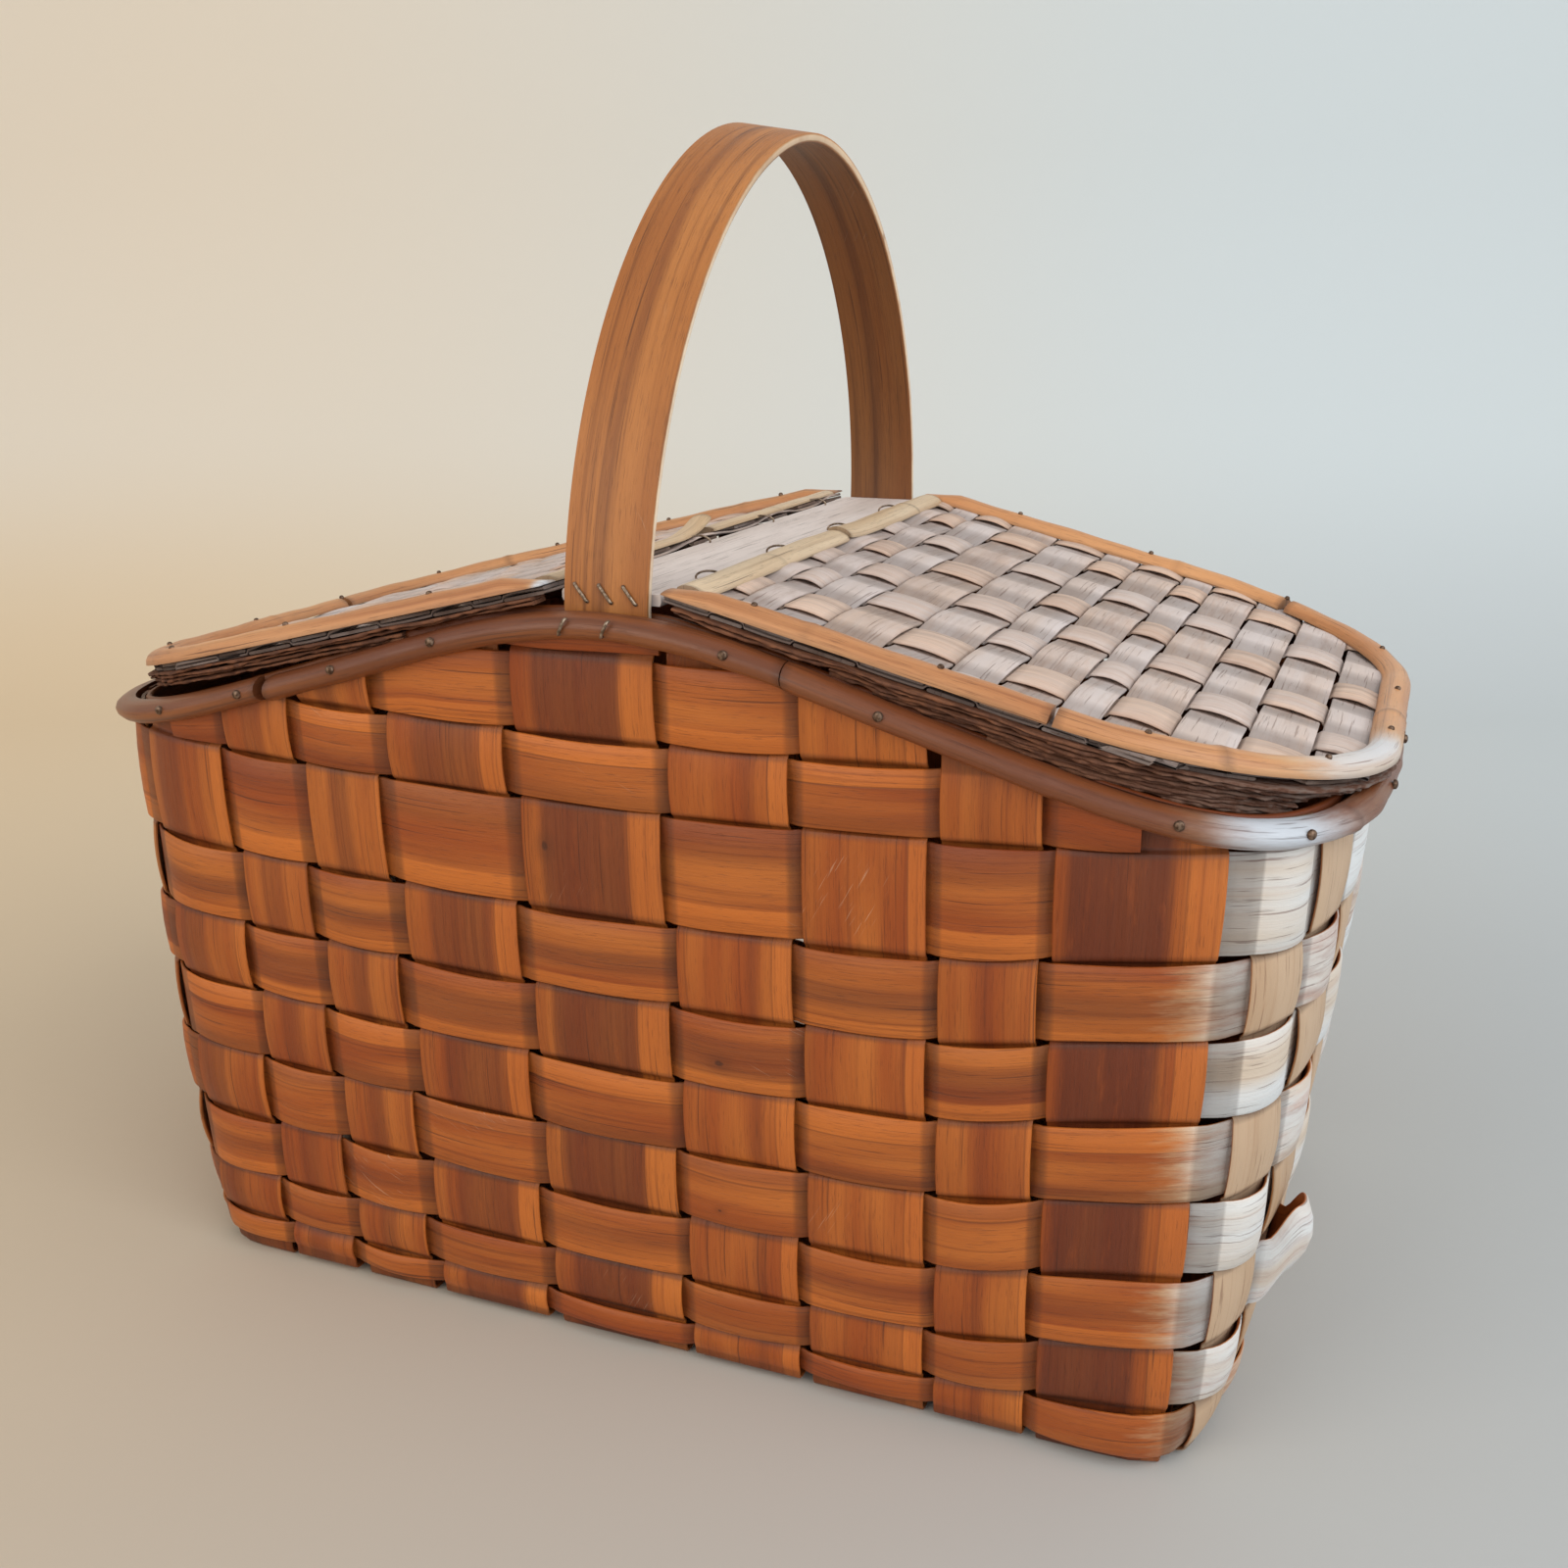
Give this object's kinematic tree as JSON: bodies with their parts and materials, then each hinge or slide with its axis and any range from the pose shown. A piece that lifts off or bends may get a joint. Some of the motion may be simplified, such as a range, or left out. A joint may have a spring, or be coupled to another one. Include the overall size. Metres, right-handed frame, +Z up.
{
  "type": "picnic basket",
  "caption": "Woven wood splint picnic basket with two flat lids hinged on a middle board, a rounded rim rod and an arched carrying handle.",
  "frame": {"origin": "centre of the footprint, on the surface that the basket stands on", "axes": "+X along the basket's length, +Y from the front wall to the back wall across the handle's arch, +Z up"},
  "size_m": [0.4452, 0.2792, 0.4052],
  "materials": {
    "splint": "varnished honey-brown wood splint, satin",
    "splint_dark": "varnished dark heartwood splint, satin",
    "rim_rod": "varnished split cane, satin",
    "handle": "varnished bent splint, satin",
    "board": "weathered grey wood, dull",
    "lid_panel": "weathered splint weave, dull",
    "cane": "peeled orange cane, semi-gloss",
    "pale_cane": "pale cream cane, satin",
    "bark": "rough dark bark, matt",
    "wire": "dull tarnished wire"
  },
  "bodies": {
    "basket": {"cross_splint_1": "splint_dark", "cross_splint_2": "splint", "cross_splint_3": "splint", "cross_splint_4": "splint", "cross_splint_5": "splint_dark", "cross_splint_6": "splint", "cross_splint_7": "splint", "cross_splint_8": "splint", "cross_splint_9": "splint_dark", "lengthwise_splint_1": "splint", "lengthwise_splint_2": "splint", "lengthwise_splint_3": "splint", "lengthwise_splint_4": "splint", "lengthwise_splint_5": "splint", "lengthwise_splint_6": "splint", "lengthwise_splint_7": "splint", "lengthwise_splint_8": "splint", "weaver_1_front": "splint", "weaver_1_back": "splint", "weaver_2_front": "splint", "weaver_2_back": "splint", "weaver_3_front": "splint", "weaver_3_back": "splint", "weaver_4": "splint", "weaver_5": "splint", "weaver_6": "splint", "weaver_7": "splint", "weaver_8": "splint", "weaver_9": "splint", "weaver_10": "splint", "weaver_11": "splint", "rim_rod": "rim_rod", "rim_band_inner": "splint", "handle": "handle", "middle_board": "board", "staple_front_1": "wire", "staple_front_2": "wire", "staple_front_3": "wire", "staple_back_1": "wire", "staple_back_2": "wire", "staple_back_3": "wire", "wire_loop_right_1": "wire", "wire_loop_right_2": "wire", "wire_loop_right_3": "wire", "wire_loop_right_4": "wire", "wire_loop_left_1": "wire", "wire_loop_left_2": "wire", "wire_loop_left_3": "wire", "wire_loop_left_4": "wire"},
    "lid_right": {"lid_panel_right": "lid_panel", "lid_rod_right": "cane", "lid_bark_strip_right": "bark", "hinge_strip_right_1": "pale_cane", "hinge_strip_right_2": "pale_cane"},
    "lid_left": {"lid_panel_left": "lid_panel", "lid_rod_left": "cane", "lid_bark_strip_left": "bark", "hinge_strip_left_1": "pale_cane", "hinge_strip_left_2": "pale_cane"}
  },
  "joints": [
    {"name": "lid_right_hinge", "type": "hinge", "parent": "basket", "child": "lid_right", "pos_m": [0.0178, 0, 0.264], "axis": [0, -1, 0], "range_deg": [0, 95]},
    {"name": "lid_left_hinge", "type": "hinge", "parent": "basket", "child": "lid_left", "pos_m": [-0.0178, 0, 0.264], "axis": [0, 1, 0], "range_deg": [0, 95]}
  ]
}
